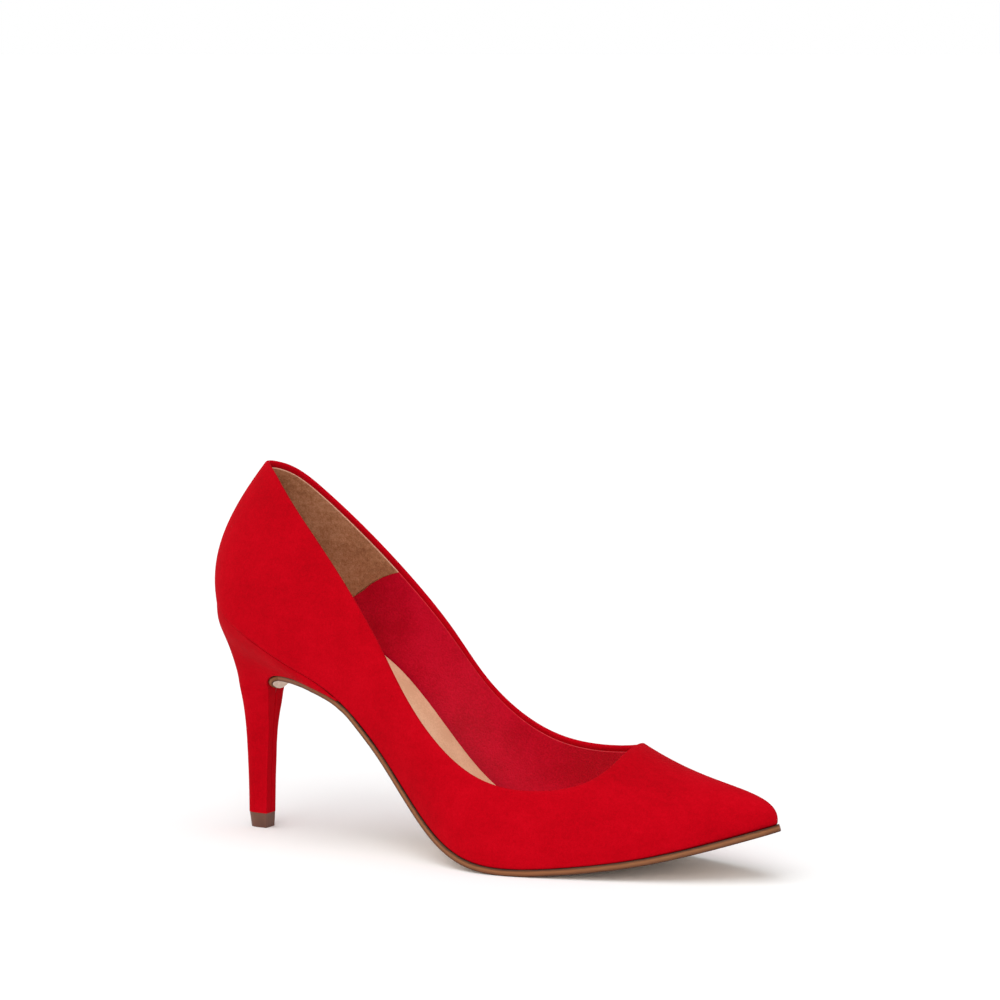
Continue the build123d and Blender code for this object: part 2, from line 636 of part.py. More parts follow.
def bottom_layers(fasteners):
    """Every flat layer of the bottom, keyed by its node name."""
    board = inset_prism(WALL_GAP)
    sock_plan = inset_prism(SOCK_GAP)
    groove = upright_polygon(mirrored(RIB_GROOVE)) & sole_slab((1.0, RIB_TOP + 0.1), 42.0, 117.0)
    rivets = []
    for x in RIVET_X:
        low = sole_point(np.array(x), 0.0, SHANK_STEEL[0])
        high = sole_point(np.array(x), 0.0, BOARD[1] - 0.1)
        head = sole_point(np.array(x), 0.0, BOARD[1] - 0.1 - RIVET_HEAD[1])
        rivets.append(rod(RIVET_RADIUS, low, high).fuse(rod(RIVET_HEAD[0], head, high)))
    rivets = Compound(rivets)
    holes = fasteners + [rivets]
    layers = {
        "shank_board": (sole_slab(BOARD, 2.0, BOARD_JOINT[0]) & board) - groove,
        "insole_board": sole_slab(BOARD, BOARD_JOINT[1], 236.0) & board,
        "bottom_filler": bottom_filler(),
        "sock_foam": sole_slab(FOAM, 4.0, 235.0) & sock_plan,
        "sock": sole_slab(SOCK, 3.0, 236.0) & sock_plan,
        "shank": shank(),
    }
    for name in ("shank_board", "shank"):
        for hole in holes:
            layers[name] = layers[name] - hole
    layers["shank_rivets"] = rivets
    return layers


def pieces():
    fasteners = [heel_screw(), heel_nails()]
    found = {
        "upper": upper(),
        "heel_grip": heel_grip(),
        "vamp_lining": vamp_lining(),
        "heel_counter": heel_counter(),
        "outer_side_interlining": side_interlining(COUNTER_END + END_GAP, TOE - PUFF_REACH - END_GAP),
        "inner_side_interlining": side_interlining(TOE + PUFF_REACH + END_GAP, 1 - COUNTER_END - END_GAP),
        "toe_puff": toe_puff(),
        "topline_tape": topline_tape(),
        "outsole": outsole(),
        "heel_block": heel_block(fasteners),
        "heel_cover": heel_cover(),
        "heel_dowel": heel_dowel(),
        "heel_screw": fasteners[0],
        "heel_nails": fasteners[1],
        "top_piece": top_piece(),
        "top_piece_pin": top_piece_pin(),
    }
    found.update(bottom_layers(fasteners))
    return found


os.makedirs("parts", exist_ok=True)
shift = Location((-ORIGIN[0], -ORIGIN[1], -ORIGIN[2]))
for name, piece in pieces().items():
    export_step(piece.moved(shift), f"parts/{name}.step")
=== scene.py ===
import math

import bpy
import numpy as np
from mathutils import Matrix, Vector


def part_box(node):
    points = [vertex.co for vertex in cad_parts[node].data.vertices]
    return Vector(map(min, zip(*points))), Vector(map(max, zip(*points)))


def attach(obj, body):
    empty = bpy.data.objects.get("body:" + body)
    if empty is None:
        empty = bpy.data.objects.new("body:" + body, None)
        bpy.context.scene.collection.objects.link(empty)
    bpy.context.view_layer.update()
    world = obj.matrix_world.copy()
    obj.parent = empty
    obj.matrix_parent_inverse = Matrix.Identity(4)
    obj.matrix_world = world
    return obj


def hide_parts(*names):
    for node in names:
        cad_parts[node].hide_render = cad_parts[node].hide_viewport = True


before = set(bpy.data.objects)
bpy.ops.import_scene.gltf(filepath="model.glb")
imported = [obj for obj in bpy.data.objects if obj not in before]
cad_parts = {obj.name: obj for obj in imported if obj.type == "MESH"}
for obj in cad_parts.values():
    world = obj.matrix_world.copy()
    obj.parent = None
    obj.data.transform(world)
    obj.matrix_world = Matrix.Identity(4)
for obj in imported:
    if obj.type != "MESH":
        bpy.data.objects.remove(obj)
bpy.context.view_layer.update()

# ---------------------------------------------------------------- the last, in millimetres
# x = 0 is the back of the heel seat, +X the toe, -Y the outer side, z = 0 the ground.
# Stations round the last, from the back seam to the toe tip: feather x, outer and inner half
# width, then topline outer x, inner x, half width, outer z, inner z.
STATIONS = np.array([
    (0.0, 0.0, 0.0, 20.7, 20.7, 0.0, 145.0, 145.0),
    (6.0, 14.5, 14.0, 25.8, 25.5, 7.3, 143.2, 142.9),
    (24.0, 23.8, 23.8, 38.2, 37.5, 14.8, 133.5, 132.9),
    (50.0, 26.5, 24.6, 60.0, 60.0, 20.6, 112.0, 112.0),
    (76.0, 26.2, 20.6, 84.0, 86.5, 25.6, 84.0, 83.4),
    (103.0, 28.8, 22.6, 101.0, 104.0, 29.3, 60.6, 60.0),
    (137.0, 38.0, 33.9, 131.0, 134.0, 32.0, 35.6, 41.4),
    (172.0, 32.3, 33.5, 157.8, 163.5, 29.0, 31.6, 40.6),
    (205.0, 21.9, 22.0, 173.0, 174.0, 18.8, 35.6, 43.8),
    (228.0, 9.8, 10.2, 177.4, 177.0, 7.6, 41.4, 44.9),
    (238.0, 0.0, 0.0, 177.8, 177.8, 0.0, 44.0, 44.0),
])
# Side profile of the feather line, where the lasted upper meets the sole.
SOLE_X = np.array([0.0, 22.0, 45.0, 65.0, 85.0, 105.0, 117.0, 131.0, 148.0, 168.0, 195.0, 238.0])
SOLE_Z = np.array([90.8, 80.1, 69.5, 60.0, 42.0, 19.8, 10.5, 4.5, 2.6, 4.0, 8.3, 20.7])
TOE_SWING = 7.0          # how far the toe tip leans to the inner side
THROAT_SWING = 3.6       # how far the throat leans to the inner side
BACK_BULGE = (13.5, 8.2)  # pull of the two wall handles behind the heel
SIDE_BULGE = (2.5, 2.0)  # pull of the two wall handles at the sides
TOE_RISE = (15.0, 3.0)   # height and reach of the toe wall handle
THROAT_PULL = (28.0, 12.5)  # reach and drop of the vamp handle
STEM_X = 16.0            # axis of the dowel in the heel

# Depths under the outer face of the upper, and drops under the topline.
SUEDE = 1.2
FOLDED_EDGE = 2.1
FOLD_DEPTH = 8.0
STIFFENER = (1.25, 2.05)
TAPE = (2.13, 2.4)
TAPE_DROPS = (7.0, 3.0)
GRIP = (2.46, 3.22)
LINING = (2.45, 3.08)
LINING_DROP = 2.0
STIFFENER_DROP = FOLD_DEPTH + 0.5
PUFF_DROP = 17.0
MARGIN = 12.0            # lasting margin turned under the insole
TOE_MARGIN = 4.5
SEAM_GROOVE = (0.35, 0.45)  # depth and half width of the back seam
LIP_RISES = [0.25, 0.6, 1.1]  # the suede rolls in over these heights above the feather line
LIP_DEPTHS = (0.5, 0.22, 0.06, 0.0)

# Places round the last, as shares of one turn, where the layers of the wall end.
GRIP_END = 0.106
GRIP_LEAN = 0.0715       # how far forward the front edge of the heel grip leans, foot to top
LEAN_RUN = 0.06
COUNTER_END = 0.15
PUFF_REACH = 0.1
END_GAP = 0.001
FOOT_V = 0.06            # share of the wall's height where its inner layers start
ROWS_PER_TURN = 420

# The bottom: heights over the feather line, inset from it, ends in x, crown and heel dish.
FOAM_PAD = ((3.08, 4.7), 3.9, (4.6, 233.6), 0.0, 0.3)
SOCK_PAD = ((4.82, 5.6), 3.5, (3.3, 235.2), 0.25, 0.6)
DISH_RUN = 45.0
OUTSOLE_THICKNESS = ([90.0, 130.0], [2.2, 2.6])  # waist and tread, over x
SIDE_EDGE = 0.3          # how far the outsole shows along the sides
TOE_EDGE = 0.9           # how much further it shows at the toe
TOE_ROUND = 2.5          # the toe end is rounded in plan over this length
EDGE_DOME = 0.45         # how far the sole edge bulges
GLUE = 0.05

# The dowel stands upright in the heel, so its box says where the frame put the heel's axis.
dowel_low, dowel_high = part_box("heel_dowel")
ORIGIN = np.array([STEM_X - 500 * (dowel_low[0] + dowel_high[0]),
                   -500 * (dowel_low[1] + dowel_high[1]), 0.0])


def natural_spline(knots, values, at):
    """Cubic spline through (knots, values), running on straight past both ends."""
    knots = np.asarray(knots, float)
    values = np.asarray(values, float)
    count = len(knots)
    step = np.diff(knots)
    matrix = np.eye(count)
    right = np.zeros((count,) + values.shape[1:])
    for i in range(1, count - 1):
        matrix[i, i - 1:i + 2] = step[i - 1], 2 * (step[i - 1] + step[i]), step[i]
        right[i] = 6 * ((values[i + 1] - values[i]) / step[i]
                        - (values[i] - values[i - 1]) / step[i - 1])
    bend = np.linalg.solve(matrix, right)
    at = np.asarray(at, float)
    i = np.clip(np.searchsorted(knots, at, side="right") - 1, 0, count - 2)
    a = (knots[i + 1] - at) / step[i]
    b = 1 - a
    size = step[i]
    before = at < knots[0]
    after = at > knots[-1]
    if values.ndim > 1:
        a, b, size = a[..., None], b[..., None], size[..., None]
        before, after = before[..., None], after[..., None]
    slope_0 = (values[1] - values[0]) / step[0] - step[0] * bend[1] / 6
    slope_1 = (values[-1] - values[-2]) / step[-1] + step[-1] * bend[-2] / 6
    inside = (a * values[i] + b * values[i + 1]
              + ((a**3 - a) * bend[i] + (b**3 - b) * bend[i + 1]) * size**2 / 6)
    past = at[..., None] if values.ndim > 1 else at
    inside = np.where(before, values[0] + slope_0 * (past - knots[0]), inside)
    return np.where(after, values[-1] + slope_1 * (past - knots[-1]), inside)


def closed_spline(knots, points, at):
    """Periodic cubic spline; the last knot is the first one again, one turn later."""
    count = len(points)
    step = np.diff(knots)
    matrix = np.zeros((count, count))
    right = np.zeros_like(points)
    for i in range(count):
        after = (i + 1) % count
        matrix[i, i - 1] += step[i - 1]
        matrix[i, i] += 2 * (step[i - 1] + step[i])
        matrix[i, after] += step[i]
        right[i] = 6 * ((points[after] - points[i]) / step[i]
                        - (points[i] - points[i - 1]) / step[i - 1])
    bend = np.linalg.solve(matrix, right)
    at = np.mod(at - knots[0], knots[-1] - knots[0]) + knots[0]
    i = np.clip(np.searchsorted(knots, at, side="right") - 1, 0, count - 1)
    after = (i + 1) % count
    a = ((knots[i + 1] - at) / step[i])[..., None]
    b = 1 - a
    square = (step[i]**2)[..., None]
    return (a * points[i] + b * points[after]
            + ((a**3 - a) * bend[i] + (b**3 - b) * bend[after]) * square / 6)


def sole_height(x):
    return natural_spline(SOLE_X, SOLE_Z, x)


def control_rows():
    """Four closed rows of control points: feather line, two rows of handles, topline."""
    count = len(STATIONS)
    order = np.r_[np.arange(count), np.arange(count - 2, 0, -1)]
    side = np.r_[-np.ones(count), np.ones(count - 2)]
    rows = STATIONS[order]
    outer = side < 0
    feather_width = np.where(outer, rows[:, 1], rows[:, 2])
    feather = np.stack([rows[:, 0], side * feather_width, sole_height(rows[:, 0])], -1)
    top = np.stack([np.where(outer, rows[:, 3], rows[:, 4]), side * rows[:, 5],
                    np.where(outer, rows[:, 6], rows[:, 7])], -1)
    feather[:, 1] += TOE_SWING * np.clip((feather[:, 0] - 120) / 118, 0, 1)**1.5
    top[:, 1] += THROAT_SWING * np.clip((top[:, 0] - 100) / 80, 0, 1)**1.5
    sideways = np.zeros_like(feather)
    sideways[:, 1] = np.where(feather_width > 0, side, 0)
    at_back = np.exp(-(rows[:, 0] / 15)**2)[:, None]
    backwards = np.array([-1.0, 0.0, 0.0]) * at_back
    rise = top - feather
    low = feather + rise * 0.33 + sideways * SIDE_BULGE[0] * (1 - at_back) + backwards * BACK_BULGE[0]
    high = top - rise * 0.33 + sideways * SIDE_BULGE[1] * (1 - at_back) + backwards * BACK_BULGE[1]
    reach = np.hypot(rise[:, 0], rise[:, 1])
    pull = np.minimum(1, reach / 60)[:, None]
    forward = np.where(feather_width > 0, 0.5, 1.0)[:, None]
    toe_low = feather + sideways * 1.5
    toe_low = toe_low + np.concatenate([TOE_RISE[1] * forward, 0 * forward,
                                        TOE_RISE[0] + 0 * forward], -1)
    ahead = -rise / np.maximum(1e-6, reach)[:, None]
    ahead[:, 2] = 0
    toe_high = top + (ahead * THROAT_PULL[0] - np.array([0, 0, THROAT_PULL[1]])) * pull
    t = np.clip((rows[:, 0] - 150) / 88, 0, 1)
    in_toe = (t * t * (3 - 2 * t))[:, None]
    low = low * (1 - in_toe) + toe_low * in_toe
    high = high * (1 - in_toe) + toe_high * in_toe
    steps = [np.linalg.norm(np.roll(row, -1, 0) - row, axis=1) for row in (feather, top)]
    knots = np.r_[0, np.cumsum((steps[0] + steps[1]) / 2)]
    return (feather, low, high, top), knots


ROWS, KNOTS = control_rows()
TOE = KNOTS[len(STATIONS) - 1] / KNOTS[-1]


def wall_point(u, v):
    """Outer face of the upper: u goes once round the last, v from feather line to topline."""
    u = np.asarray(u, float)
    v = np.asarray(v, float)[..., None]
    f, a, b, t = [closed_spline(KNOTS, row, u * KNOTS[-1]) for row in ROWS]
    f[..., 2] = sole_height(f[..., 0])
    return f * (1 - v)**3 + 3 * a * v * (1 - v)**2 + 3 * b * v * v * (1 - v) + t * v**3


def wall_normal(u, v):
    step = 1e-4
    along = wall_point(u + step, v) - wall_point(u - step, v)
    up = wall_point(u, v + step) - wall_point(u, v - step)
    across = np.cross(along, up)
    return across / np.linalg.norm(across, axis=-1)[..., None]


def skived(u):
    """Every layer is skived to 70 percent of its thickness at the toe tip."""
    return 1 - 0.3 * np.exp(-((u - TOE) / 0.03)**2)


def layer(u, v, depth):
    u, v, depth = np.broadcast_arrays(np.asarray(u, float), np.asarray(v, float), depth)
    return wall_point(u, v) - wall_normal(u, v) * (depth * skived(u))[..., None]


RULER = np.linspace(0, 1, 81)


def run_up(u):
    """Length along the wall from the feather line, at every v of RULER, one row for each u."""
    u = np.asarray(u, float)
    points = wall_point(u[:, None] + 0 * RULER, RULER + 0 * u[:, None])
    steps = np.linalg.norm(np.diff(points, axis=1), axis=-1)
    return np.concatenate([np.zeros((len(u), 1)), np.cumsum(steps, axis=1)], 1)


def at_drop(u, drop):
    """The v this far under the topline, for each u (rows) and drop (columns)."""
    return np.array([np.interp(run[-1] - np.asarray(drop), run, RULER) for run in run_up(u)])


def at_rise(u, rise):
    """The v this far above the feather line."""
    return np.array([np.interp(rise, run, RULER) for run in run_up(u)])


def sole_point(x, y, height):
    """A point this high over plan point (x, y) of the feather surface, square to it."""
    slope = (sole_height(x + 0.1) - sole_height(x - 0.1)) / 0.2
    size = np.sqrt(1 + slope**2)
    return np.stack(np.broadcast_arrays(x - slope / size * height, y,
                                        sole_height(x) + height / size), -1)


def feather_inset(u, inset):
    """Plan points of the feather line moved inwards."""
    u = np.asarray(u, float)
    here = wall_point(u, 0 * u)[..., :2]
    along = wall_point(u + 1e-4, 0 * u)[..., :2] - wall_point(u - 1e-4, 0 * u)[..., :2]
    along = along / np.linalg.norm(along, axis=-1)[..., None]
    inwards = np.stack([-along[..., 1], along[..., 0]], -1)
    return here + inwards * (inset + 0 * u)[..., None]


def spread_places(count, back=1.5):
    """Places round the last, closer together near the toe tip and the back seam."""
    fine = np.linspace(0, 1, 4001)
    crowd = 1 + 3 * np.exp(-((fine - TOE) / 0.03)**2)
    for middle in (0, 1):
        crowd = crowd + back * np.exp(-((fine - middle) / 0.03)**2)
        crowd = crowd + 10 * back * np.exp(-((fine - middle) / 0.004)**2)
    total = np.r_[0, np.cumsum((crowd[1:] + crowd[:-1]) / 2)]
    return np.interp(np.linspace(0, total[-1], count), total, fine)


# ---------------------------------------------------------------- meshes

def new_piece(name, points, faces, materials, face_slots=None, sharp=40.0):
    """A smooth-shaded mesh object from points in millimetres."""
    mesh = bpy.data.meshes.new(name)
    mesh.from_pydata(((points - ORIGIN) / 1000).tolist(), [], faces)
    mesh.update()
    for material in materials:
        mesh.materials.append(material)
    mesh.polygons.foreach_set("use_smooth", [True] * len(mesh.polygons))
    if face_slots is not None:
        mesh.polygons.foreach_set("material_index", list(face_slots))
    mesh.set_sharp_from_angle(angle=math.radians(sharp))
    piece = bpy.data.objects.new(name, mesh)
    bpy.context.scene.collection.objects.link(piece)
    return piece


def grid_faces(rows, columns, round_rows, round_columns, caps):
    """Quads of a grid of points, with n-gon caps on the first and last row if asked."""
    faces = []
    for i in range(rows if round_rows else rows - 1):
        for j in range(columns if round_columns else columns - 1):
            a, b = i * columns, ((i + 1) % rows) * columns
            k = (j + 1) % columns
            faces.append((a + j, a + k, b + k, b + j))
    if caps:
        faces.append(tuple(range(columns))[::-1])
        faces.append(tuple((rows - 1) * columns + j for j in range(columns)))
    return faces


def outward(faces, points):
    """The same faces, all turned over if they enclose a negative volume."""
    volume = 0.0
    for face in faces:
        a = points[face[0]]
        for i in range(1, len(face) - 1):
            volume += float(np.dot(a, np.cross(points[face[i]], points[face[i + 1]])))
    return faces if volume > 0 else [face[::-1] for face in faces]


def tube(name, grid, round_rows, materials, column_slots=None, sharp=40.0):
    """A closed skin from a grid of section points: rows run along it, columns round it."""
    rows, columns = grid.shape[:2]
    faces = grid_faces(rows, columns, round_rows, True, not round_rows)
    points = grid.reshape(-1, 3)
    faces = outward(faces, points - points.mean(0))
    slots = None
    if column_slots is not None:
        slots = np.tile(column_slots, rows if round_rows else rows - 1).tolist()
        slots = slots + [0] * (len(faces) - len(slots))
    return new_piece(name, points, faces, materials, slots, sharp)


def handed_in(piece, node):
    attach(piece, "root")
    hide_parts(node)
    return piece


# ---------------------------------------------------------------- materials

class Nodes:
    """A material's node tree with short ways to add and join nodes."""

    def __init__(self, name):
        self.material = bpy.data.materials.new(name)
        self.material.use_nodes = True
        self.tree = self.material.node_tree
        self.tree.nodes.clear()
        self.out = self.add("ShaderNodeOutputMaterial")
        self.shader = self.add("ShaderNodeBsdfPrincipled")
        self.join(self.shader.outputs[0], self.out.inputs["Surface"])
        self.where = self.add("ShaderNodeTexCoord").outputs["Object"]

    def add(self, kind, **values):
        node = self.tree.nodes.new(kind)
        for key, value in values.items():
            setattr(node, key, value)
        return node

    def join(self, output, socket):
        self.tree.links.new(output, socket)

    def stretched(self, scale):
        node = self.add("ShaderNodeMapping")
        node.inputs["Scale"].default_value = scale
        self.join(self.where, node.inputs["Vector"])
        return node.outputs[0]

    def noise(self, scale, detail=3.0, roughness=0.55, vector=None, distortion=0.0):
        node = self.add("ShaderNodeTexNoise")
        node.inputs["Scale"].default_value = scale
        node.inputs["Detail"].default_value = detail
        node.inputs["Roughness"].default_value = roughness
        node.inputs["Distortion"].default_value = distortion
        self.join(vector or self.where, node.inputs["Vector"])
        return node.outputs["Fac"]

    def cells(self, scale, feature="F1", vector=None, randomness=1.0):
        node = self.add("ShaderNodeTexVoronoi", feature=feature)
        node.inputs["Scale"].default_value = scale
        node.inputs["Randomness"].default_value = randomness
        self.join(vector or self.where, node.inputs["Vector"])
        return node.outputs["Distance"]

    def attribute(self, name):
        node = self.add("ShaderNodeAttribute", attribute_name=name)
        return node.outputs["Fac"]

    def maths(self, operation, a, b=0.0, c=0.0):
        node = self.add("ShaderNodeMath", operation=operation)
        for socket, value in zip(node.inputs, (a, b, c)):
            if isinstance(value, (int, float)):
                socket.default_value = value
            else:
                self.join(value, socket)
        return node.outputs[0]

    def ranged(self, value, low, high, to_low, to_high):
        node = self.add("ShaderNodeMapRange")
        self.join(value, node.inputs["Value"])
        for key, number in (("From Min", low), ("From Max", high), ("To Min", to_low),
                            ("To Max", to_high)):
            node.inputs[key].default_value = number
        return node.outputs[0]

    def ramp(self, value, stops):
        node = self.add("ShaderNodeValToRGB")
        self.join(value, node.inputs["Fac"])
        elements = node.color_ramp.elements
        while len(elements) < len(stops):
            elements.new(0.5)
        for element, (place, colour) in zip(elements, stops):
            element.position = place
            element.color = (*colour, 1.0)
        return node.outputs["Color"]

    def mix(self, factor, first, second, blend="MIX"):
        node = self.add("ShaderNodeMix", data_type="RGBA", blend_type=blend)
        for socket, value in ((node.inputs[0], factor), (node.inputs[6], first),
                              (node.inputs[7], second)):
            if isinstance(value, (int, float)):
                socket.default_value = value
            elif isinstance(value, tuple):
                socket.default_value = (*value, 1.0)
            else:
                self.join(value, socket)
        return node.outputs[2]

    def finish(self, colour, roughness, bumps, **sockets):
        """bumps are (height, strength, distance in metres), the coarsest first."""
        if isinstance(colour, tuple):
            self.shader.inputs["Base Color"].default_value = (*colour, 1.0)
        else:
            self.join(colour, self.shader.inputs["Base Color"])
        if isinstance(roughness, (int, float)):
            self.shader.inputs["Roughness"].default_value = roughness
        else:
            self.join(roughness, self.shader.inputs["Roughness"])
        normal = None
        for height, strength, distance in bumps:
            bump = self.add("ShaderNodeBump")
            bump.inputs["Strength"].default_value = strength
            bump.inputs["Distance"].default_value = distance
            self.join(height, bump.inputs["Height"])
            if normal is not None:
                self.join(normal, bump.inputs["Normal"])
            normal = bump.outputs[0]
        if normal is not None:
            self.join(normal, self.shader.inputs["Normal"])
        for key, value in sockets.items():
            self.shader.inputs[key.replace("_", " ")].default_value = value
        return self.material


def suede(name, dark, main, light, sheen, tint, coarse=1.0):
    """Napped leather: fine fibres, brushed patches and a soft velvet edge light."""
    n = Nodes(name)
    patches = n.noise(38.0, 4.0, 0.6, distortion=0.6)
    brushed = n.noise(1.0, 3.0, 0.6, vector=n.stretched((160.0, 420.0, 300.0)))
    fibres = n.noise(2600.0 / coarse, 3.0, 0.7)
    tufts = n.noise(900.0 / coarse, 3.0, 0.65)
    tone = n.maths("MULTIPLY_ADD", patches, 0.3, 0.0)
    tone = n.maths("MULTIPLY_ADD", brushed, 0.15, tone)
    tone = n.maths("MULTIPLY_ADD", tufts, 0.25, tone)
    tone = n.maths("MULTIPLY_ADD", fibres, 0.3, tone)
    colour = n.ramp(tone, [(0.36, dark), (0.5, main), (0.64, light)])
    roughness = n.ranged(fibres, 0.3, 0.7, 0.82, 1.0)
    bumps = [(tufts, 0.35, 0.0002), (fibres, 0.4, 0.00012)]
    return n.finish(colour, roughness, bumps, Sheen_Weight=sheen, Sheen_Roughness=0.45,
                    Sheen_Tint=(*tint, 1.0), Specular_IOR_Level=0.04)


def smooth_leather(name, dark, main, light, roughness, grain=1300.0, depth=0.00012, gloss=0.3):
    n = Nodes(name)
    patches = n.noise(55.0, 4.0, 0.6)
    pores = n.cells(grain, "SMOOTH_F1")
    creases = n.cells(grain * 0.45, "DISTANCE_TO_EDGE")
    tone = n.maths("MULTIPLY_ADD", patches, 0.7, 0.0)
    tone = n.maths("MULTIPLY_ADD", pores, 0.3, tone)
    colour = n.ramp(tone, [(0.38, dark), (0.52, main), (0.7, light)])
    rough = n.ranged(patches, 0.35, 0.65, roughness - 0.06, roughness + 0.08)
    edges = n.ranged(creases, 0.0, 0.12, 0.0, 1.0)
    bumps = [(edges, 0.25, depth), (pores, 0.3, depth)]
    return n.finish(colour, rough, bumps, Specular_IOR_Level=gloss)


def board(name, main, fleck, scale=700.0, roughness=0.8):
    """Pressed fibre board, foam or woven backer: flecked, matt, slightly uneven."""
    n = Nodes(name)
    fibre = n.noise(1.0, 4.0, 0.6, vector=n.stretched((scale * 0.35, scale, scale)))
    specks = n.noise(scale * 2, 2.0)
    tone = n.maths("MULTIPLY_ADD", specks, 0.4, n.maths("MULTIPLY", fibre, 0.6))
    colour = n.ramp(tone, [(0.38, fleck), (0.55, main)])
    return n.finish(colour, n.ranged(specks, 0.3, 0.7, roughness - 0.08, roughness + 0.1),
                    [(fibre, 0.4, 0.0002)])


def drawn_steel(name):
    n = Nodes(name)
    lines = n.noise(1.0, 3.0, vector=n.stretched((250.0, 4000.0, 4000.0)))
    stain = n.noise(120.0, 3.0)
    colour = n.ramp(stain, [(0.3, (0.33, 0.33, 0.34)), (0.7, (0.55, 0.55, 0.56))])
    return n.finish(colour, n.ranged(lines, 0.3, 0.7, 0.28, 0.48), [(lines, 0.15, 0.00005)],
                    Metallic=1.0)


def moulded(name, dark, main, roughness):
    """Moulded plastic with a fine spark-eroded texture and faint flow marks."""
    n = Nodes(name)
    flow = n.noise(70.0, 4.0, distortion=1.2)
    grain = n.noise(3200.0, 2.0, 0.6)
    colour = n.ramp(flow, [(0.3, dark), (0.65, main)])
    return n.finish(colour, n.ranged(grain, 0.3, 0.7, roughness - 0.05, roughness + 0.1),
                    [(grain, 0.25, 0.00006)])


def sole_edge(name):
    """Sole edge in stained, waxed brown with painted shading: a paler band along the middle as a painted
    highlight on the rounded edge, darker at both borders as painted shade where the edge turns away and
    meets the upper.
    """
    n = Nodes(name)
    across = n.attribute("edge_across")
    grain = n.noise(1.0, 4.0, 0.7, vector=n.stretched((160.0, 160.0, 1500.0)))
    patches = n.noise(90.0, 3.0)
    wobble = n.maths("MULTIPLY_ADD", grain, 0.35, n.maths("ADD", across, -0.175))
    # Painted shade and highlight: near-black borders, darkest at the top where the edge meets the upper,
    # and a pale painted highlight along the middle.
    band = n.ramp(wobble, [(0.0, (0.020, 0.006, 0.003)), (0.12, (0.075, 0.024, 0.009)),
                           (0.4, (0.30, 0.115, 0.043)), (0.78, (0.16, 0.055, 0.021)),
                           (1.0, (0.030, 0.010, 0.005))])
    colour = n.mix(n.ranged(patches, 0.4, 0.75, 0.0, 0.3), band, (0.17, 0.065, 0.026))
    return n.finish(colour, n.ranged(grain, 0.3, 0.7, 0.38, 0.6), [(grain, 0.35, 0.0002)],
                    Specular_IOR_Level=0.2)


RED = suede("red_suede", (0.36, 0.0, 0.0040), (0.46, 0.0, 0.0055), (0.54, 0.0010, 0.0085),
            0.05, (1.0, 0.02, 0.05))
TAN = suede("tan_suede", (0.20, 0.075, 0.033), (0.42, 0.185, 0.090), (0.62, 0.32, 0.180),
            0.05, (0.9, 0.5, 0.3), coarse=1.5)
CRIMSON = smooth_leather("crimson_lining", (0.48, 0.0005, 0.014), (0.57, 0.0012, 0.020),
                         (0.63, 0.0024, 0.026), 0.5, gloss=0.12)
RAW_TAN = board("raw_tan_edge", (0.66, 0.33, 0.22), (0.45, 0.19, 0.12), 1500.0)
RAW_RED = smooth_leather("raw_red_edge", (0.50, 0.004, 0.012), (0.62, 0.008, 0.020),
                         (0.68, 0.014, 0.030), 0.55)
SOCK = smooth_leather("sock_leather", (0.74, 0.44, 0.265), (0.83, 0.52, 0.325),
                      (0.88, 0.58, 0.385), 0.5, 1500.0, 0.0001)
TREAD = smooth_leather("sole_tread", (0.62, 0.49, 0.40), (0.74, 0.60, 0.50),
                       (0.80, 0.67, 0.57), 0.6, 900.0, 0.00015)
EDGE = sole_edge("sole_edge")
TIP = moulded("top_piece_plastic", (0.085, 0.028, 0.014), (0.145, 0.052, 0.026), 0.5)
HEEL_PLASTIC = moulded("heel_plastic", (0.17, 0.006, 0.008), (0.24, 0.010, 0.012), 0.5)
STEEL = drawn_steel("drawn_steel")
BOARD = board("leatherboard", (0.36, 0.23, 0.13), (0.22, 0.13, 0.07))
BACKER = board("backing_fabric", (0.78, 0.75, 0.68), (0.60, 0.57, 0.50), 1100.0)
FOAM = board("latex_foam", (0.85, 0.82, 0.72), (0.68, 0.64, 0.52), 1800.0, 0.9)


# ---------------------------------------------------------------- upper

def make_upper():
    """Suede wall, folded topline edge and lasting margin as one closed skin."""
    places = spread_places(560)[:-1]
    half = FOLDED_EDGE / 2
    turn = np.linspace(0, math.pi, 9)
    u = places[:, None]
    rim = at_drop(places, [half])
    crown_v = at_drop(places, half * (1 - np.sin(turn)))
    turned_v = at_drop(places, np.linspace(half, FOLD_DEPTH, 8)[1:])
    inner_top = at_drop(places, [FOLD_DEPTH + 1.5])
    foot = at_rise(places, [SUEDE])
    inside_v = inner_top + np.linspace(0, 1, 12) * (foot - inner_top)
    seam = np.minimum(np.abs(u), np.abs(1 - u)) * KNOTS[-1]
    groove = SEAM_GROOVE[0] * np.exp(-(seam / SEAM_GROOVE[1])**2)
    lip = at_rise(places, LIP_RISES)
    face_v = lip[:, -1:] + np.linspace(0, 1, 34)[1:] * (rim - lip[:, -1:])
    outside_v = np.concatenate([0 * rim, lip, face_v], 1)
    rolled = np.zeros_like(outside_v)
    rolled[:, :len(LIP_DEPTHS)] = LIP_DEPTHS
    crown_depth = half * (1 - np.cos(turn)) + groove * (1 + np.cos(turn)) / 2
    parts = [layer(u, outside_v, rolled + groove), layer(u, crown_v, crown_depth),
             layer(u, turned_v, FOLDED_EDGE), layer(u, inside_v, SUEDE)]
    margin = MARGIN - (MARGIN - TOE_MARGIN) * np.exp(-((places - TOE) / 0.05)**2)
    for height, shares in ((SUEDE, np.linspace(0.15, 1, 5)), (0.0, np.linspace(1, 0.12, 5))):
        for share in shares:
            plan = feather_inset(places, margin * share)
            parts.append(sole_point(plan[:, 0], plan[:, 1], height)[:, None])
    grid = np.concatenate(parts, 1)
    return handed_in(tube("upper_shell", grid, True, [RED], sharp=60), "upper")


# ---------------------------------------------------------------- linings and stiffeners

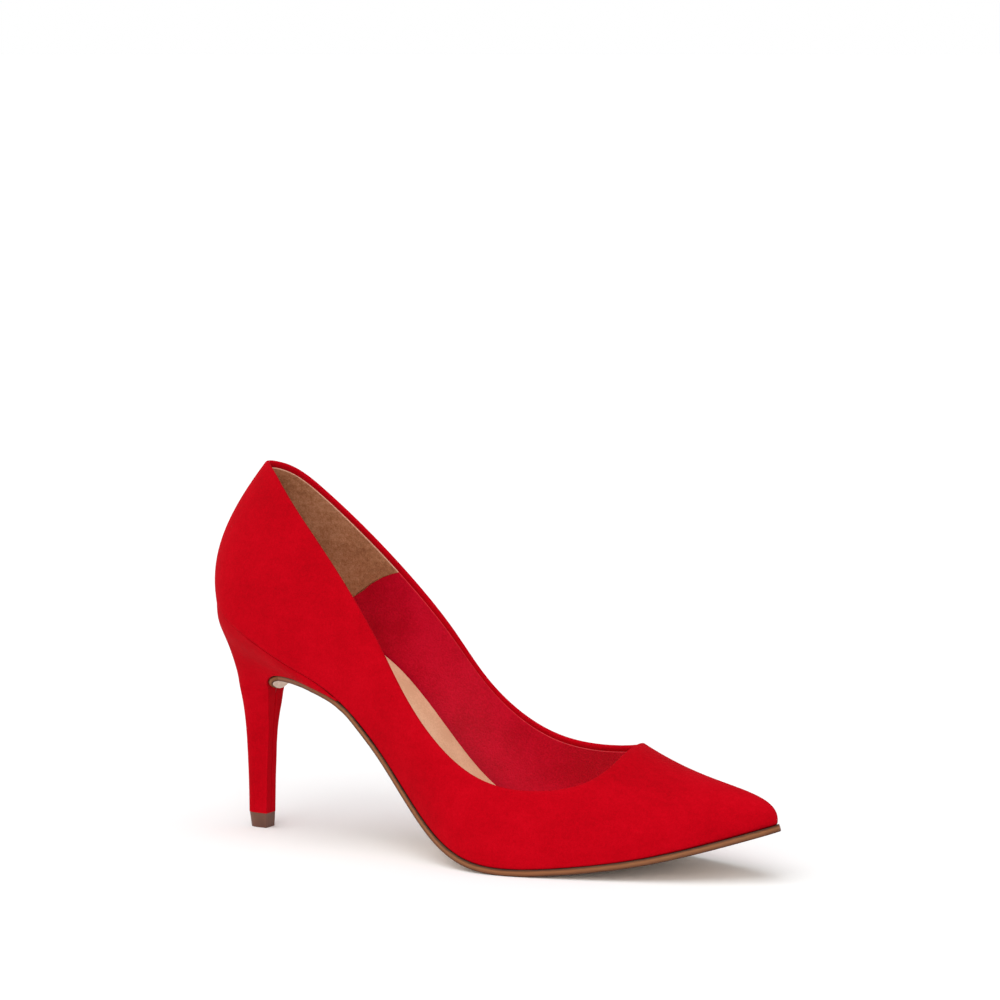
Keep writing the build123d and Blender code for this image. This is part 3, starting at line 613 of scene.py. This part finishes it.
def band(name, ends, foot, drop, depths, materials, slot, node, lean=(0.0, 0.0), rounding=0.0):
    """A layer of the wall between two depths; each end leans by its share of a turn."""
    start, end = ends
    count = max(24, int((end - start) * ROWS_PER_TURN))
    places = np.linspace(start, end, count)[:, None]
    rows = np.linspace(0, 1, 28)
    v = foot + rows * (at_drop(places[:, 0], [drop]) - foot)
    slope = (lean[0] * np.clip(1 - (places - start) / LEAN_RUN, 0, 1)
             + lean[1] * np.clip(1 - (end - places) / LEAN_RUN, 0, 1))
    u = places + slope * (v - 0.5)
    v = foot + rows * (at_drop(u[:, -1], [drop]) - foot)
    middle = (depths[0] + depths[1]) / 2
    face = layer(u, v, depths[0])
    back = layer(u, v, depths[1])
    crest = layer(u[:, -1:], at_drop(u[:, -1], [drop - rounding]), middle)
    heel = layer(u[:, :1], v[:, :1], middle)
    grid = np.concatenate([face, crest, back[:, ::-1], heel], 1)
    columns = np.zeros(grid.shape[1], int)
    columns[len(rows) - 1:len(rows) + 1] = len(materials) - 1
    return handed_in(tube(name, grid, False, materials, columns, sharp=35), node)


def make_linings():
    lean, rear = GRIP_LEAN, GRIP_END - END_GAP
    outer = (COUNTER_END + END_GAP, TOE - PUFF_REACH - END_GAP)
    inner = (TOE + PUFF_REACH + END_GAP, 1 - COUNTER_END - END_GAP)
    band("heel_grip_lining", (-GRIP_END, GRIP_END), FOOT_V, LINING_DROP, GRIP, [TAN, RAW_TAN],
         "suede_tan", "heel_grip", lean=(-lean, lean), rounding=0.15)
    band("front_lining", (rear, 1 - rear), FOOT_V, LINING_DROP, LINING, [CRIMSON, RAW_RED],
         "lining_leather", "vamp_lining", lean=(lean, -lean), rounding=0.15)
    for name, ends, drop, material, slot, node in (
            ("heel_counter_shell", (-COUNTER_END, COUNTER_END), STIFFENER_DROP, BOARD,
             "leatherboard", "heel_counter"),
            ("outer_backer", outer, STIFFENER_DROP, BACKER, "backing_fabric",
             "outer_side_interlining"),
            ("inner_backer", inner, STIFFENER_DROP, BACKER, "backing_fabric",
             "inner_side_interlining"),
            ("toe_puff_shell", (TOE - PUFF_REACH, TOE + PUFF_REACH), PUFF_DROP, BACKER,
             "backing_fabric", "toe_puff")):
        band(name, ends, FOOT_V, drop, STIFFENER, [material], slot, node)


def make_tape():
    """Narrow tape inside the folded edge."""
    places = spread_places(400)[:-1]
    v = at_drop(places, np.linspace(*TAPE_DROPS, 5))
    u = places[:, None]
    grid = np.concatenate([layer(u, v, TAPE[0]), layer(u, v[:, ::-1], TAPE[1])], 1)
    return handed_in(tube("edge_tape", grid, True, [BACKER]), "topline_tape")


# ---------------------------------------------------------------- sock and foam

def plan_sides(inset):
    """Outer and inner side of the plan outline, each as increasing x with its y."""
    places = spread_places(900)[:-1]
    plan = feather_inset(places, inset * skived(places))
    outer = plan[places <= TOE]
    inner = plan[places > TOE][::-1]
    return [side[np.argsort(side[:, 0])] for side in (outer, inner)]


def sole_pad(name, heights, inset, ends, crown, cup, materials, slot, node):
    """A thin pad on the insole with rounded edges, cupped a little at the heel."""
    sides = plan_sides(inset)
    turn = np.linspace(0, 1, 150)
    x = ends[0] + (ends[1] - ends[0]) * (1 - np.cos(turn * math.pi)) / 2
    outer = np.interp(x, sides[0][:, 0], sides[0][:, 1])
    inner = np.interp(x, sides[1][:, 0], sides[1][:, 1])
    low, high = heights
    middle, half = (low + high) / 2, (high - low) / 2
    across = np.sin(np.linspace(-math.pi / 2, math.pi / 2, 41))
    rim = np.linspace(math.pi / 2, -math.pi / 2, 7)[1:-1]
    section = []
    for share in across:
        edge = min(1.0, (1 - abs(share)) * 14)
        section.append((share, high + crown * (1 - share**2) - 0.35 * half * (1 - edge), 0.0))
    for angle in rim:
        section.append((1.0, middle + half * math.sin(angle) * 0.8, half * math.cos(angle)))
    for share in across[::-1]:
        section.append((share, low, 0.0))
    for angle in -rim:
        section.append((-1.0, middle + half * math.sin(angle) * 0.8, -half * math.cos(angle)))
    rows = []
    for at, y0, y1 in zip(x, outer, inner):
        centre, width = (y0 + y1) / 2, max(0.4, (y1 - y0) / 2 - half)
        dish = cup * math.exp(-(at / DISH_RUN)**2)
        rows.append([sole_point(at, centre + share * width + shift, height + dish * share**2)
                     for share, height, shift in section])
    piece = tube(name, np.array(rows), False, materials, sharp=50)
    return handed_in(piece, node)


# ---------------------------------------------------------------- outsole

BREAST_CURL = [(23.7, 55.8), (24.2, 58.4), (25.9, 60.6), (29.0, 61.8), (36.0, 62.4),
               (45.0, 62.3), (54.0, 61.2), (62.0, 59.4)]
OUTSOLE_TAPER = [(21.0, 8.0), (28.0, 8.2), (34.0, 11.4), (44.0, 17.3), (54.0, 22.0), (61.0, 24.3)]
INNER_TAPER = [(21.0, 8.0), (28.0, 8.2), (34.0, 11.0), (44.0, 16.2), (54.0, 20.0), (61.0, 21.6)]
OUTSOLE_TIP = 238.9
FLAP_FOOT, FLAP_TOP, FLAP_HALF = 55.7, 62.4, 8.2
BREAST_LINE = [(20.7, 4.0), (20.8, 8.0), (21.1, 20.0), (21.7, 33.0), (22.6, 45.0), (23.7, 55.8)]
FLAP_END = 30.0          # x where the flap has turned into the sole
TAPER_END = 70           # x from where the outsole follows the feather line
AHEAD_X = (71.0, 78.0, 85.0, 95.0, 105.0, 115.0, 125.0, 135.0, 145.0, 160.0, 175.0, 195.0, 218.0,
           OUTSOLE_TIP)


LINE_KNOTS = np.array(BREAST_CURL + [(x, float(sole_height(x))) for x in AHEAD_X])
LINE_RUN = np.r_[0, np.cumsum(np.linalg.norm(np.diff(LINE_KNOTS, axis=0), axis=1))]


def outsole_line(s):
    """Top face of the outsole in side view, from the flap on the breast to the toe."""
    return natural_spline(LINE_RUN, LINE_KNOTS, s)


def make_outsole():
    """Sole unit as one skin of sections, with its edge bulging a little."""
    length = LINE_RUN[-1]
    turn = np.linspace(0, 1, 260)
    s = length * (1 - np.cos(turn * math.pi)) / 2
    fine = np.linspace(0, 1, 40)**2
    s = np.unique(np.r_[s, 12 * fine, length - 6 * fine])
    line = outsole_line(s)
    along = np.gradient(line, s, axis=0)
    along = along / np.linalg.norm(along, axis=1)[:, None]
    down = np.stack([along[:, 1], -along[:, 0]], -1)
    thick = np.interp(line[:, 0], *OUTSOLE_THICKNESS)
    places = spread_places(1600)[:-1]
    edge = SIDE_EDGE + TOE_EDGE * np.exp(-((places - TOE) / 0.06)**2)
    plan = feather_inset(places, -edge)
    widths = []
    for side, sign, table in ((plan[places <= TOE], -1, OUTSOLE_TAPER),
                              (plan[places > TOE], 1, INNER_TAPER)):
        side = side[side[:, 0] > TAPER_END]
        side = side[np.argsort(side[:, 0])]
        taper = np.array([(x, sign * w) for x, w in table])
        knots = np.vstack([taper, side[::6], side[-1:]])
        keep = np.r_[True, np.diff(knots[:, 0]) > 1e-4]
        widths.append(np.interp(line[:, 0], knots[keep][:, 0], knots[keep][:, 1]))
    up_flap = np.clip((line[:, 1] - FLAP_FOOT) / (FLAP_TOP - FLAP_FOOT), 0.001, 1)
    flap = FLAP_HALF * np.sqrt(1 - (1 - up_flap)**2.2)
    near = line[:, 0] < FLAP_END
    outer = np.where(near, np.maximum(widths[0], -flap), widths[0])
    inner = np.where(near, np.minimum(widths[1], flap), widths[1])
    to_tip = np.clip((line[-1, 0] - line[:, 0]) / TOE_ROUND, 0, 1)
    tip = np.sqrt(1 - (1 - to_tip)**2)
    middle = (outer + inner) / 2
    outer, inner = middle + (outer - middle) * tip, middle + (inner - middle) * tip
    shares = np.sin(np.linspace(-math.pi / 2, math.pi / 2, 25)) * 0.9999
    rim = np.linspace(0, math.pi, 9)[1:-1]
    grid, across = [], []
    for (x, z), (nx, nz), t, y0, y1 in zip(line, down, thick, outer, inner):
        centre, half = (y0 + y1) / 2, max(0.05, (y1 - y0) / 2)
        dome = min(EDGE_DOME, half * 0.8)
        flat = half - dome
        top = [(share * flat, 0.0) for share in shares]
        bulge = [(flat + dome * math.sin(a)**0.6, (1 - math.cos(a)) / 2) for a in rim]
        ring = (top + bulge + [(y, 1.0) for y, _ in top[::-1]] + [(-y, d) for y, d in bulge[::-1]])
        row = [(x + nx * t * d, centre + y, z + nz * t * d) for y, d in ring]
        mark = [d for _, d in ring]
        grid.append(row)
        across.append(mark)
    grid = np.array(grid)
    n, m = len(shares), len(rim)
    columns = np.array([0] * (n - 1) + [0] * (m + 1) + [1] * (n - 1) + [0] * (m + 1))
    piece = tube("outsole_unit", grid, False, [EDGE, TREAD], columns, sharp=48)
    mark = piece.data.attributes.new("edge_across", "FLOAT", "POINT")
    mark.data.foreach_set("value", np.array(across).ravel())
    return handed_in(piece, "outsole")


# ---------------------------------------------------------------- heel cover

SEAT_WIDTHS = ((2.5, 9.3), (7.0, 14.6), (16.0, 20.0), (28.0, 24.0), (50.0, 26.0), (76.0, 26.3))
STEM_WIDTHS = ((1.0, 1.9), (2.8, 2.95), (5.5, 3.25), (8.5, 3.25), (12.0, 3.25), (15.0, 3.25))
# Levels down the heel: height and x of the back point, forward tilt of the level in degrees,
# then distances along the level and the half widths there.
HEEL_LEVELS = [
    (93.5, 1.3, 25.5, SEAT_WIDTHS),
    (90.8, 0.0, 25.5, SEAT_WIDTHS),
    (84.0, -0.3, 21.4, ((2.2, 7.8), (6.5, 12.6), (15.0, 17.6), (28.0, 21.2), (46.0, 24.0), (74.0, 26.2))),
    (75.0, 1.8, 16.0, ((1.8, 5.4), (5.5, 8.8), (13.0, 12.3), (27.0, 15.8), (44.0, 19.0), (69.0, 26.0))),
    (66.5, 4.6, 10.9, ((1.5, 3.9), (4.5, 6.2), (11.0, 8.4), (24.0, 10.4), (42.0, 14.5), (64.5, 25.0))),
    (58.0, 6.8, 0.0, ((1.3, 3.2), (4.0, 5.4), (9.5, 6.6), (15.0, 7.2), (21.0, 7.9), (28.0, 9.0))),
    (50.0, 8.3, 0.0, ((1.2, 2.6), (3.4, 4.1), (7.0, 4.8), (12.0, 5.0), (16.0, 5.0), (20.0, 5.0))),
    (42.0, 9.4, 0.0, ((1.1, 2.1), (3.0, 3.2), (6.0, 3.6), (10.0, 3.6), (14.0, 3.6), (18.0, 3.6))),
    (30.0, 10.3, 0.0, STEM_WIDTHS),
    (18.0, 10.8, 0.0, STEM_WIDTHS),
    (5.8, 11.0, 0.0, STEM_WIDTHS),
]


SEAT_HEIGHT = 90.8
SIDE_POINTS = 160        # points along one side of a heel level
WING_DEPTH = 34          # depth under the seat from where the rows are further apart
BREAST_GROOVE = (0.28, 0.22)  # depth and half width of the seam down the breast
TUCKS = ((0, 0.45), (1, 0.15))  # the top rows turn in by this much
WRAP_MIDDLE = np.array([30.0, 0.0])


def heel_side(level):
    """Outer side of one heel level, from the back point forwards."""
    height, x_back, tilt, widths = level
    slope = math.radians(tilt)
    points = np.array([(x_back + d * math.cos(slope), -w, height - d * math.sin(slope))
                       for d, w in ((0.0, 0.0),) + tuple(widths)])
    both = np.vstack([points[:0:-1] * np.array([1, -1, 1]), points])
    run = np.r_[0, np.cumsum(np.linalg.norm(np.diff(both, axis=0), axis=1))]
    at = np.linspace(run[len(points) - 1], run[-1], SIDE_POINTS)
    return natural_spline(run, both, at)


def arch_height(x, line):
    """Height of the outsole's top face over x, far below where there is no outsole."""
    return np.interp(x, line[:, 0], line[:, 1], left=-99.0)


def make_heel_cover():
    """Suede wrap: rings down the heel, each cut off at the outsole or the breast."""
    levels = np.array([heel_side(level) for level in HEEL_LEVELS[1:]])
    knots = np.array([SEAT_HEIGHT - level[0] for level in HEEL_LEVELS[1:]])
    rows = np.unique(np.r_[np.linspace(0, WING_DEPTH, 90), np.linspace(WING_DEPTH, knots[-1], 70)])
    surface = natural_spline(knots, levels.reshape(len(levels), -1), rows)
    surface = surface.reshape(len(rows), SIDE_POINTS, 3)
    line = outsole_line(np.linspace(0, 70, 400))
    line = line[np.argsort(line[:, 0])]
    curl_x, curl_low = BREAST_CURL[0]
    breast = np.array(BREAST_LINE)
    breast_count, side_count = 33, 70
    grid = []
    for row in surface:
        x, z = row[:, 0], row[:, 2]
        upright = x - np.interp(z, breast[:, 1], breast[:, 0])
        above = arch_height(x, line) + GLUE - z
        over = np.where(z < curl_low, upright, np.where(x > curl_x, above, -1.0))
        cut = int(np.argmax(over > 0)) if (over > 0).any() else len(x) - 1
        if cut:
            share = over[cut - 1] / (over[cut - 1] - over[cut])
            share = min(1.0, max(0.0, share)) if abs(over[cut - 1]) < 5 else 1.0
            corner = row[cut - 1] + (row[cut] - row[cut - 1]) * share
        side = np.vstack([row[:cut], corner])
        run = np.r_[0, np.cumsum(np.linalg.norm(np.diff(side, axis=0), axis=1))]
        t = np.linspace(0, 1, side_count)
        at = run[-1] * (t * 0.35 + 0.65 * (1 - np.cos(t * math.pi)) / 2)
        side = np.stack([np.interp(at, run, side[:, k]) for k in range(3)], -1)
        t = np.linspace(-1, 1, breast_count)
        t = np.sign(t) * np.abs(t)**1.5
        face = np.stack([corner[0] + 0 * t, corner[1] * -t, corner[2] + 0 * t], -1)[1:-1]
        face = face[::-1] if face[0, 1] > 0 else face
        if corner[2] < curl_low:
            face[:, 0] -= BREAST_GROOVE[0] * np.exp(-(face[:, 1] / BREAST_GROOVE[1])**2)
        other = side[:0:-1] * np.array([1, -1, 1])
        ring = np.vstack([side, face, other])
        soft = np.zeros(len(ring))
        for corner_at in (side_count - 1, side_count + breast_count - 2):
            soft[corner_at - 1:corner_at + 2] = 1
        for _ in range(2):
            mean = (np.roll(ring, 1, 0) + np.roll(ring, -1, 0)) / 2
            ring = ring + (mean - ring) * 0.5 * soft[:, None]
        grid.append(ring)
    grid = np.array(grid)
    grid[0, :, 2] = sole_height(grid[0, :, 0]) - GLUE
    for row, tuck in TUCKS:
        away = grid[row, :, :2] - WRAP_MIDDLE
        grid[row, :, :2] -= away / np.maximum(1.0, np.linalg.norm(away, axis=1))[:, None] * tuck
    piece = tube("heel_wrap", grid, False, [RED], sharp=50)
    return handed_in(piece, "heel_cover")


# ---------------------------------------------------------------- build

make_upper()
make_linings()
make_tape()
sole_pad("sock_foam_pad", *FOAM_PAD, [FOAM], "foam", "sock_foam")
sock = sole_pad("sock_pad", *SOCK_PAD, [SOCK], "sock_leather", "sock")
make_outsole()
make_heel_cover()

KEPT = {"top_piece": TIP, "heel_block": HEEL_PLASTIC, "heel_dowel": STEEL, "heel_screw": STEEL,
        "heel_nails": STEEL, "top_piece_pin": STEEL, "shank": STEEL, "shank_rivets": STEEL,
        "shank_board": BOARD, "insole_board": BOARD, "bottom_filler": BACKER}
for node, material in KEPT.items():
    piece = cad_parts[node]
    piece.data.materials.clear()
    piece.data.materials.append(material)
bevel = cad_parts["top_piece"].modifiers.new("worn_edge", "BEVEL")
bevel.width = 0.0003     # metres
bevel.segments = 3
bevel.limit_method = "ANGLE"
bevel.angle_limit = math.radians(50)

# ---------------------------------------------------------------- floor, light and camera

def stage_material(name, colour):
    n = Nodes(name)
    shade = n.noise(3.0, 2.0)
    pale = n.ramp(shade, [(0.3, colour), (0.7, tuple(min(1.0, c * 1.01) for c in colour))])
    return n.finish(pale, 0.9, [], Specular_IOR_Level=0.0)


floor_mesh = bpy.data.meshes.new("floor")
RADIUS, SPOKES = 40.0, 96
spokes = [2 * math.pi * i / SPOKES for i in range(SPOKES)]
ring = [(RADIUS * math.cos(angle), RADIUS * math.sin(angle), 0.0) for angle in spokes]
floor_mesh.from_pydata(ring, [], [tuple(range(SPOKES))])
floor_mesh.materials.append(stage_material("pale_floor", (0.93, 0.93, 0.93)))
floor = bpy.data.objects.new("floor", floor_mesh)
bpy.context.scene.collection.objects.link(floor)

world = bpy.data.worlds.new("studio")
bpy.context.scene.world = world
world.use_nodes = True
sky = world.node_tree
direction = sky.nodes.new("ShaderNodeTexCoord")
parts = sky.nodes.new("ShaderNodeSeparateXYZ")
fade = sky.nodes.new("ShaderNodeValToRGB")
sky.links.new(direction.outputs["Generated"], parts.inputs[0])
sky.links.new(parts.outputs["Z"], fade.inputs["Fac"])
sky.links.new(fade.outputs["Color"], sky.nodes["Background"].inputs["Color"])
fade.color_ramp.elements[0].position = 0.2
fade.color_ramp.elements[0].color = (1.0, 1.0, 1.0, 1.0)
fade.color_ramp.elements[1].position = 0.45
fade.color_ramp.elements[1].color = (0.35, 0.35, 0.35, 1.0)
sky.nodes["Background"].inputs["Strength"].default_value = 1.0


def soft_light(name, aim, spread, power):
    """A large far softbox: parallel light from one side, blurred over this many degrees."""
    data = bpy.data.lights.new(name, "SUN")
    data.angle = math.radians(spread)
    data.energy = power
    lamp = bpy.data.objects.new(name, data)
    lamp.rotation_euler = Vector(aim).to_track_quat("-Z", "Y").to_euler()
    bpy.context.scene.collection.objects.link(lamp)


soft_light("overhead", (0.1, 0.25, -1.0), 70.0, 1.9)
soft_light("key", (-0.25, 0.9, -0.75), 50.0, 0.7)

AZIMUTH, ELEVATION = math.radians(30.2), math.radians(6.5)
DISTANCE, LENS = 1573.3, 150.56
AIM = np.array([124.6, 0.0, 135.0])
back = np.array([math.sin(AZIMUTH) * math.cos(ELEVATION), -math.cos(AZIMUTH) * math.cos(ELEVATION),
                 math.sin(ELEVATION)])
place = (AIM + back * DISTANCE - ORIGIN) / 1000
camera_data = bpy.data.cameras.new("camera")
camera_data.lens = LENS
camera_data.sensor_width = 36.0
camera_data.clip_end = 200.0
camera = bpy.data.objects.new("camera", camera_data)
camera.location = place
camera.rotation_euler = Vector((-back).tolist()).to_track_quat("-Z", "Y").to_euler()
bpy.context.scene.collection.objects.link(camera)
bpy.context.scene.camera = camera
bpy.context.scene.view_settings.view_transform = "Standard"
